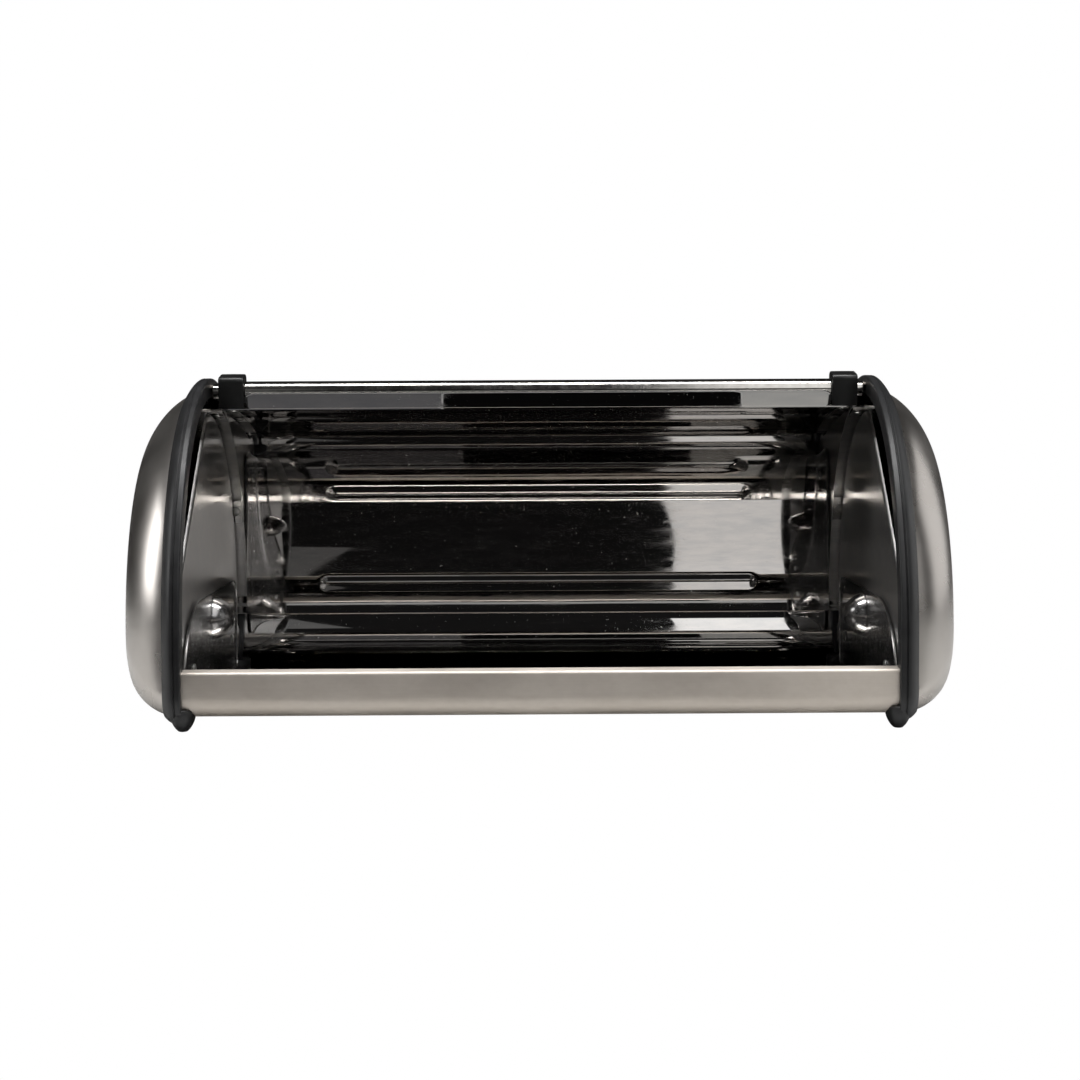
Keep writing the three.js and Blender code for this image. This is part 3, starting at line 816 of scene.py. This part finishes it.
adoptPair(buildBracket(), "body", "mirror_panel", "pivotBracket", "pivot_bracket")
print("brackets made")


# the lid: a sheet rolled round the axis, with pressed ribs and folded edges

lid = {
    "start": -4.2,
    "end": 102.6,
    "ribHighAngle": 33.5,
    "ribHighLength": 262,
    "ribLowAngle": 4.6,
    "ribLowLength": 276,
    "ribWidth": 5.8,
    "ribHeight": -0.7,
    "sideHem": 8.4,
    "trailHem": 11,
    "hemFold": 0.9,
    "crimp": 0.35,
    "crimpLength": 5.5,
    "edgeWander": 0.5,
    "thickShare": 0.8,
    "sideEase": 0.1,
    "across": 300,
    "along": 220,
}


def startTree(name, fields):
    tree = bpy.data.node_groups.new(name, "GeometryNodeTree")
    tree.interface.new_socket("Geometry", in_out="OUTPUT", socket_type="NodeSocketGeometry")
    tree.interface.new_socket("Geometry", in_out="INPUT", socket_type="NodeSocketGeometry")
    for label, kind in fields.items():
        tree.interface.new_socket(label, in_out="INPUT", socket_type="NodeSocket" + kind)
    return tree, addNode(tree, "NodeGroupInput"), addNode(tree, "NodeGroupOutput")


def runTree(piece, tree, values):
    modifier = piece.modifiers.new(tree.name, "NODES")
    modifier.node_group = tree
    for item in tree.interface.items_tree:
        if item.in_out == "INPUT" and item.name in values:
            modifier[item.identifier] = values[item.name]
    return modifier


def ribField(tree, x, angle, radius, centre, length, width, height):
    along = times(tree, minus(tree, angle, centre), radius)
    straight = minus(tree, times(tree, length, 0.5), width)
    beyond = combine(tree, "MAXIMUM", minus(tree, combine(tree, "ABSOLUTE", x), straight), 0.0)
    squares = plus(
        tree, times(tree, along, along), times(tree, beyond, beyond)
    )
    share = combine(tree, "MINIMUM", combine(tree, "DIVIDE", combine(tree, "SQRT", squares), width), 1.0)
    wave = combine(tree, "COSINE", times(tree, share, math.pi))
    return times(tree, combine(tree, "MULTIPLY_ADD", wave, 0.5), height)


def rolledStrip(tree, fields, low, high, start, end, drop, steps, shapeX=None, shapeR=None):
    # a strip from x low to x high, rolled from the start to the end angle, drop inside the lid's radius
    grid = addNode(tree, "GeometryNodeMeshGrid", {"Size X": 1.0, "Size Y": 1.0})
    for key, count in zip(("Vertices X", "Vertices Y"), steps):
        grid.inputs[key].default_value = count
    place = addNode(tree, "GeometryNodeInputPosition").outputs[0]
    parts = addNode(tree, "ShaderNodeSeparateXYZ", links={0: place})
    u = plus(tree, parts.outputs[0], 0.5)
    v = plus(tree, parts.outputs[1], 0.5)
    x = plus(tree, low, times(tree, u, minus(tree, high, low)))
    angle = plus(tree, start, times(tree, v, minus(tree, end, start)))
    radius = minus(tree, fields["Radius"], drop)
    if shapeX:
        x = plus(tree, x, shapeX(u, angle))
    if shapeR:
        radius = plus(tree, radius, shapeR(x, angle, u))
    y = times(tree, radius, combine(tree, "COSINE", angle))
    z = plus(tree, times(tree, radius, combine(tree, "SINE", angle)), fields["Axis"])
    spot = addNode(tree, "ShaderNodeCombineXYZ", links={0: x, 1: y, 2: z})
    moved = addNode(
        tree,
        "GeometryNodeSetPosition",
        links={"Geometry": grid.outputs["Mesh"], "Position": spot.outputs[0]},
    )
    return moved.outputs[0]


def lidTree():
    names = [
        "Radius", "Axis", "Half", "Start", "End", "Rib High", "Rib High Length", "Rib Low",
        "Rib Low Length", "Rib Width", "Rib Height", "Hem", "Trail Hem", "Fold", "Crimp",
        "Crimp Length", "Wander",
    ]
    kinds = {name: "Float" for name in names}
    kinds["Material"] = kinds["Fold Material"] = "Material"
    tree, source, target = startTree("rolledLid", kinds)
    fields = {name: source.outputs[name] for name in names}

    def ribs(x, angle, _):
        total = None
        for which in ("High", "Low"):
            rib = ribField(
                tree, x, angle, fields["Radius"], fields["Rib " + which],
                fields["Rib " + which + " Length"], fields["Rib Width"], fields["Rib Height"],
            )
            total = rib if total is None else plus(tree, total, rib)
        return total

    def noiseAlong(angle, offset):
        along = combine(tree, "DIVIDE", times(tree, angle, fields["Radius"]), fields["Crimp Length"])
        spot = addNode(tree, "ShaderNodeCombineXYZ", {1: offset}, {0: along})
        noise = addNode(
            tree, "ShaderNodeTexNoise", {"Scale": 1.0, "Detail": 2.0}, {"Vector": spot.outputs[0]}
        )
        return minus(tree, noise.outputs["Fac"], 0.5)

    outer = times(tree, fields["Half"], -1.0)
    joined = addNode(tree, "GeometryNodeJoinGeometry")
    folds = addNode(tree, "GeometryNodeJoinGeometry")
    main = rolledStrip(
        tree, fields, outer, fields["Half"], fields["Start"], fields["End"], 0.0,
        (lid["across"], lid["along"]), None, ribs,
    )
    tree.links.new(main, joined.inputs[0])
    hemInside = minus(tree, fields["Half"], fields["Hem"])
    for side, offset in ((1.0, 3.1), (-1.0, 8.7)):
        def wander(u, angle, side=side, offset=offset):
            free = minus(tree, 1.0, u)
            slow = times(tree, noiseAlong(angle, offset), fields["Wander"])
            return times(tree, times(tree, slow, free), side)

        def crimps(_, angle, u, offset=offset):
            ramp = times(tree, times(tree, u, minus(tree, 1.0, u)), 4.0)
            bulge = times(tree, noiseAlong(angle, offset + 2), fields["Crimp"])
            return times(tree, bulge, ramp)

        strip = rolledStrip(
            tree, fields, times(tree, hemInside, side), times(tree, fields["Half"], side),
            fields["Start"], fields["End"], fields["Fold"], (12, 260), wander, crimps,
        )
        if side < 0:
            turned = addNode(tree, "GeometryNodeFlipFaces", links={0: strip})
            strip = turned.outputs[0]
        tree.links.new(strip, folds.inputs[0])
    trailEnd = plus(
        tree, fields["Start"], combine(tree, "DIVIDE", fields["Trail Hem"], fields["Radius"])
    )
    trail = rolledStrip(
        tree, fields, outer, fields["Half"], fields["Start"], trailEnd, fields["Fold"], (60, 8)
    )
    tree.links.new(trail, joined.inputs[0])
    both = addNode(tree, "GeometryNodeJoinGeometry")
    for gathered, label in ((joined, "Material"), (folds, "Fold Material")):
        real = addNode(tree, "GeometryNodeRealizeInstances", links={0: gathered.outputs[0]})
        coated = addNode(
            tree,
            "GeometryNodeSetMaterial",
            links={"Geometry": real.outputs[0], "Material": source.outputs[label]},
        )
        tree.links.new(coated.outputs[0], both.inputs[0])
    tree.links.new(both.outputs[0], target.inputs[0])
    return tree


def buildLid():
    piece = makePiece("lidSheet", [(0, 0, 0)], [], [])
    middle = lidRadius - sheet / 2
    runTree(piece, lidTree(), {
        "Radius": middle * mm,
        "Axis": axisZ * mm,
        "Half": (lidHalf - lid["sideEase"]) * mm,
        "Start": math.radians(lid["start"]),
        "End": math.radians(lid["end"]),
        "Rib High": math.radians(lid["ribHighAngle"]),
        "Rib High Length": lid["ribHighLength"] * mm,
        "Rib Low": math.radians(lid["ribLowAngle"]),
        "Rib Low Length": lid["ribLowLength"] * mm,
        "Rib Width": lid["ribWidth"] * mm,
        "Rib Height": lid["ribHeight"] * mm,
        "Hem": lid["sideHem"] * mm,
        "Trail Hem": lid["trailHem"] * mm,
        "Fold": lid["hemFold"] * mm,
        "Crimp": lid["crimp"] * mm,
        "Crimp Length": lid["crimpLength"] * mm,
        "Wander": lid["edgeWander"] * mm,
        "Material": lidMirror,
        "Fold Material": foldSteel,
    })
    thicken(piece, sheet * lid["thickShare"], 0)
    return settle(piece, 40)


adopt(buildLid(), "lid", "mirror_lid", "lid_sheet")
print("lid made")


# the lid's handle flange, between the mounts

flange = {"height": 9, "chamfer": 3, "bend": 1.2, "lean": 0.4, "sideGap": 0.05}


def onSpoke(y, z, angle):
    # a point drawn above the axis, turned round it to the given angle
    turn = math.radians(angle - 90)
    return (y * math.cos(turn) - z * math.sin(turn), axisZ + y * math.sin(turn) + z * math.cos(turn))


def buildFlange():
    half = mountLow.x - flange["sideGap"]
    top = lidRadius + flange["height"]
    bottom = lidRadius - sheet / 2
    chamfer = flange["chamfer"]
    folded = [bottom + flange["bend"] * k for k in (0, 0.5, 1.0)]
    rows = folded + [top - chamfer, top - chamfer / 2, top]
    across = columns(1, [0], 0.02, 0.02, 1)
    points = []
    for row, z in enumerate(rows):
        over = max(z - (top - chamfer), 0)
        lean = flange["lean"] if row else flange["bend"] * 0.5
        for u in across:
            x = u * (half - over)
            y, height = onSpoke(lean, z, lid["end"])
            points.append((x, y, height))
    piece = makePiece(
        "lidFlange", points, ringFaces(len(across), len(rows), False, False), [lidMirror]
    )
    thicken(piece, sheet, 0)
    soften(piece)
    return settle(piece, 40)


adopt(buildFlange(), "lid", "mirror_lid", "lid_sheet")


# handle: mounts, tube and spigots

mount = {
    "reach": 140.0,  # the top of a mount, measured from the lid's axis
    "round": 2.6,
    "back": 3.0,
    "front": 1.2,
    "bevel": 0.9,
}


def buildMount():
    seat = lidRadius + gap
    reach = mount["reach"]
    back = tubeRadius + mount["back"]
    front = tubeRadius + mount["front"]
    bend = mount["round"]
    drop = [(t, math.sqrt(seat * seat - t * t)) for t in (-front, -front / 2, 0, back / 2, back)]
    outline = drop + arc(back - bend, reach - bend, bend, 0, 90, 10)
    outline += arc(-front + bend, reach - bend, bend, 90, 180, 10)
    width = mountHigh.x - mountLow.x
    edge = mount["bevel"]
    centreY = (back - front) / 2
    rings = []
    profile = [(0, edge), (edge * 0.3, edge * 0.3), (edge, 0)]
    for x, inset in profile + [(width / 2, -0.05)] + [(width - x, i) for x, i in reversed(profile)]:
        scaleY = 1 - 2 * inset / (back + front)
        scaleZ = 1 - inset / (reach - seat)
        rings.append([
            (mountLow.x + x, centreY + (y - centreY) * scaleY, seat + (z - seat) * scaleZ)
            for y, z in outline
        ])
    count = len(outline)
    points = []
    for ring in rings:
        points += [(x, *onSpoke(y, z, tubeAngle)) for x, y, z in ring]
    faces = capped(ringFaces(count, len(rings), True, False), count, len(points))
    return settle(makePiece("right_handleMount", points, faces, [mountBlack]), 35)


adoptPair(buildMount(), "lid", "black_mount", "handleMount", "handle_mount")


def turnedAlongX(name, profile, steps, y, z, materials, close=True):
    points, faces = lathe(profile, steps, lambda a, b, h: (h, y + a, z + b))
    if close:
        faces = capped(faces, steps, len(points))
    return makePiece(name, points, faces, materials)


handle = {"wall": 0.9, "edge": 0.3, "spigotEdge": 0.7, "spigotRadius": 4.4}


def buildTube():
    half = tubeHigh.x
    inner = tubeRadius - handle["wall"]
    edge = handle["edge"]
    profile = [
        (inner, -half + edge), (inner + edge, -half), (tubeRadius - edge, -half), (tubeRadius, -half + edge),
        (tubeRadius, 0), (tubeRadius, half - edge), (tubeRadius - edge, half), (inner + edge, half),
        (inner, half - edge), (inner, -half + edge),
    ]
    piece = turnedAlongX("handleTube", profile, 64, tubeY, tubeZ, [tubeMetal], False)
    return settle(piece, 40)


adopt(buildTube(), "lid", "bright_tube", "handle_tube")


def buildSpigot():
    radius = handle["spigotRadius"]
    edge = handle["spigotEdge"]
    end = spigotHigh.x
    profile = [
        (radius - 0.3, spigotLow.x), (radius, spigotLow.x + 0.3), (radius, end - edge),
        (radius - edge * 0.3, end - edge * 0.3), (radius - edge, end), (radius * 0.35, end),
    ]
    return settle(turnedAlongX("right_handleSpigot", profile, 48, tubeY, tubeZ, [tubeMetal]), 40)


adoptPair(buildSpigot(), "lid", "bright_tube", "handleSpigot", "handle_spigot")
print("handle made")


# rivets and screws, set on points that carry their direction

rivet = {"head": 3.1, "crown": 1.0, "seat": 0.25, "grip": 2.1}
screw = {"head": 3.2, "crown": 1.6}
headSteps = 32


def headProfile(head, crown):
    bends = [math.radians(a) for a in range(0, 90, 10)]
    return [(head * math.cos(a), crown * math.sin(a)) for a in bends] + [(head * 0.02, crown)]


def fastenerTree():
    tree, source, target = startTree("setFasteners", {"Form": "Object", "Material": "Material"})
    form = addNode(tree, "GeometryNodeObjectInfo", links={"Object": source.outputs["Form"]})
    aim = addNode(tree, "GeometryNodeInputNamedAttribute", {"Name": "aim"}, data_type="FLOAT_VECTOR")
    turn = addNode(tree, "FunctionNodeAlignRotationToVector", links={"Vector": aim.outputs[0]}, axis="Z")
    placed = addNode(
        tree,
        "GeometryNodeInstanceOnPoints",
        links={
            "Points": source.outputs["Geometry"],
            "Instance": form.outputs["Geometry"],
            "Rotation": turn.outputs[0],
        },
    )
    real = addNode(tree, "GeometryNodeRealizeInstances", links={0: placed.outputs[0]})
    coated = addNode(
        tree,
        "GeometryNodeSetMaterial",
        links={"Geometry": real.outputs[0], "Material": source.outputs["Material"]},
    )
    tree.links.new(coated.outputs[0], target.inputs[0])
    return tree


fasteners = fastenerTree()


def setHeads(name, form, spots):
    profile = headProfile(*form)
    sunk = (profile[0][0] * 0.9, -0.25)  # the head's underside, just below the sheet
    points, faces = lathe([sunk] + profile, headSteps, lambda a, b, h: (a, b, h))
    faces = capped(faces, headSteps, len(points))
    template = makePiece(name + "Form", points, faces, [zinc])
    piece = makePiece(name, [spot for spot, _ in spots], [], [])
    aim = piece.data.attributes.new("aim", "FLOAT_VECTOR", "POINT")
    for entry, (_, direction) in zip(aim.data, spots):
        entry.vector = direction
    runTree(piece, fasteners, {"Form": template, "Material": zinc})
    settle(piece, 40)
    bpy.data.objects.remove(template)
    return piece


def middleOf(node):
    low, high = span(node)
    return (low + high) / 2


bodySpots, bodyNodes, lidSpots, lidNodes, screwSpots, screwNodes = [], [], [], [], [], []
for side, sign in (("right", 1), ("left", -1)):
    for which in ("front", "rear"):
        node = side + "_bracket_rivet_" + which
        low, high = span(node)
        middle = middleOf(node)
        inner, outer = (low.x, high.x) if sign > 0 else (high.x, low.x)
        bodySpots.append(((inner + sign * rivet["crown"], middle.y, middle.z), (-sign, 0, 0)))
        bodySpots.append(((outer - sign * rivet["crown"], middle.y, middle.z), (sign, 0, 0)))
        bodyNodes.append(node)
        node = side + "_arm_rivet_" + which
        middle = middleOf(node)
        angle = math.atan2(middle.z - axisZ, middle.y)
        spoke = Vector((0, math.cos(angle), math.sin(angle)))
        outside = lidRadius + rivet["seat"]
        inside = lidRadius - sheet - lid["hemFold"] - rivet["grip"]
        lidSpots.append(((middle.x, outside * spoke.y, axisZ + outside * spoke.z), tuple(spoke)))
        lidSpots.append(((middle.x, inside * spoke.y, axisZ + inside * spoke.z), tuple(-spoke)))
        lidNodes.append(node)
    node = side + "_mount_screw"
    middle = middleOf(node)
    spoke = Vector((0, math.cos(math.radians(tubeAngle)), math.sin(math.radians(tubeAngle))))
    under = lidRadius - sheet - lid["hemFold"]
    screwSpots.append(((middle.x, under * spoke.y, axisZ + under * spoke.z), tuple(-spoke)))
    screwNodes.append(node)

adopt(setHeads("bodyRivets", (rivet["head"], rivet["crown"]), bodySpots), "body", "fastener", *bodyNodes)
adopt(setHeads("lidRivets", (rivet["head"], rivet["crown"]), lidSpots), "lid", "fastener", *lidNodes)
adopt(setHeads("mountScrews", (screw["head"], screw["crown"]), screwSpots), "lid", "fastener", *screwNodes)
print("fasteners made")


# working parts inside the end cavities keep their drawn shape

carried = {
    "pivot_pin": zinc,
    "pivot_washer": zinc,
    "pivot_clip": zinc,
    "lid_arm": innerMirror,
    "pivot_bush": nylon,
}
for stem, material in carried.items():
    for side in ("left_", "right_"):
        node = frame["nodes"][side + stem]
        node.data.materials.clear()
        node.data.materials.append(material)
        soften(node)


# studio: pale floor, soft boxes, and cards that paint shade on the table into the reflections

studio = {"floorSeen": 1.0, "surround": 0.010}


def seenOrNot(tree, seen, other):
    path = addNode(tree, "ShaderNodeLightPath")
    mix = addNode(tree, "ShaderNodeMixShader", links={0: path.outputs["Is Camera Ray"], 1: other, 2: seen})
    return mix.outputs[0]


# cards that lie in front of the box, seen only in reflections: their tones paint shade on the table as the
# box reflects it, deepest in front and fainter at the sides. Columns: name, material name, tones, and where
# their four corners lie across
cards = [
    ("frontCard", "dark card", "#060606", "#0a0a0a", (-80, 190, 135, -63)),
    ("leftCard", "grey card", "#505052", "#565658", (-700, -81, -64, -700)),
    ("rightCard", "pale card", "#9a9a98", "#a0a09e", (191, 900, 700, 136)),
]
cardNear, cardFar, cardLift = -900, -175, 1


def layCard(name, finish, dark, light, ends):
    material, tree, place = newMaterial(finish)
    # the card's tone is painted shade, seen only in reflections; the soft boxes light it as well
    tone = tinted(tree, pattern(tree, place, (2, 2, 2), 2), dark, light)
    surface(tree, {"Roughness": 0.9, "Specular IOR Level": 0.0}, {"Base Color": tone})
    corners = [(x, y, cardLift) for x, y in zip(ends, (cardNear, cardNear, cardFar, cardFar))]
    card = makePiece(name, corners, [(0, 1, 2, 3)], [material])
    card.visible_camera = False
    return card


def buildStudio():
    floorMaterial, tree, place = newMaterial("pale table")
    lit = {"Color": linear("#ffffff"), "Strength": studio["floorSeen"]}
    bright = addNode(tree, "ShaderNodeEmission", lit)
    cloud = pattern(tree, place, (900, 900, 900), 2)
    plain = addNode(
        tree,
        "ShaderNodeBsdfDiffuse",
        links={"Color": tinted(tree, between(tree, cloud, 0, 1), "#cdcdcc", "#d2d2d1")},
    )
    addNode(
        tree,
        "ShaderNodeOutputMaterial",
        links={"Surface": seenOrNot(tree, bright.outputs[0], plain.outputs[0])},
    )
    corners = [(-2600, -1600, 0), (2600, -1600, 0), (2600, 1800, 0), (-2600, 1800, 0)]
    floor = makePiece("table", corners, [(0, 1, 2, 3)], [floorMaterial])

    [layCard(*card) for card in cards]

    world = bpy.data.worlds.new("studio")
    scene.world = world
    world.use_nodes = True
    tree = world.node_tree
    tree.nodes.clear()
    dim = addNode(tree, "ShaderNodeBackground", {"Color": linear("#ffffff"), "Strength": studio["surround"]})
    white = addNode(tree, "ShaderNodeBackground", {"Color": linear("#ffffff"), "Strength": 1.0})
    addNode(
        tree,
        "ShaderNodeOutputWorld",
        links={"Surface": seenOrNot(tree, white.outputs[0], dim.outputs[0])},
    )


def softBox(name, spot, target, wide, tall, glow):
    # glow is how bright the box's face looks, with 1 as plain white
    light = bpy.data.lights.new(name, "AREA")
    light.shape = "RECTANGLE"
    light.size, light.size_y = wide, tall
    light.energy = glow * math.pi * wide * tall
    box = bpy.data.objects.new(name, light)
    box.location = spot
    box.rotation_euler = (Vector(target) - Vector(spot)).to_track_quat("-Z", "Y").to_euler()
    box.visible_camera = False
    scene.collection.objects.link(box)


buildStudio()
# each soft box: where it stands, what it faces, its width and height, and how bright its face looks
boxes = {
    "left box": ((-1.15, -0.16, 0.46), (0, 0, 0.08), 0.42, 0.55, 4.0),
    "right box": ((1.12, 0.30, 0.42), (0, 0, 0.08), 0.75, 0.75, 0.95),
    "right fill": ((1.05, -0.62, 0.40), (0, 0, 0.08), 0.5, 0.6, 0.35),
    "top strip": ((0, -0.25, 1.25), (0, -0.05, 0.1), 1.5, 0.23, 20.0),
    "front right card": ((0.66, -1.25, 1.10), (0.66, 0, 0.3), 0.92, 1.60, 1.3),
    "front left card": ((-0.62, -1.30, 0.50), (0, 0, 0.1), 0.7, 0.9, 0.12),
}
for name, settings in boxes.items():
    softBox(name, *settings)
print("studio made")


# camera, level with the mouth and a little above it

view = {"spot": (-5.8, -1291.9, 169.0), "yaw": -0.289, "pitch": 3.445, "roll": -0.302, "lens": 75.27}

camera = bpy.data.objects.new("camera", bpy.data.cameras.new("camera"))
camera.data.sensor_width = 36
camera.data.lens = view["lens"]
camera.data.clip_start = 0.05
camera.data.clip_end = 20
aimed = (
    Matrix.Rotation(math.radians(view["yaw"]), 4, "Z")
    @ Matrix.Rotation(math.radians(90 - view["pitch"]), 4, "X")
    @ Matrix.Rotation(math.radians(view["roll"]), 4, "Z")
)
camera.matrix_world = Matrix.Translation(Vector(view["spot"]) * mm) @ aimed
scene.collection.objects.link(camera)
scene.camera = camera
scene.view_settings.view_transform = "Standard"
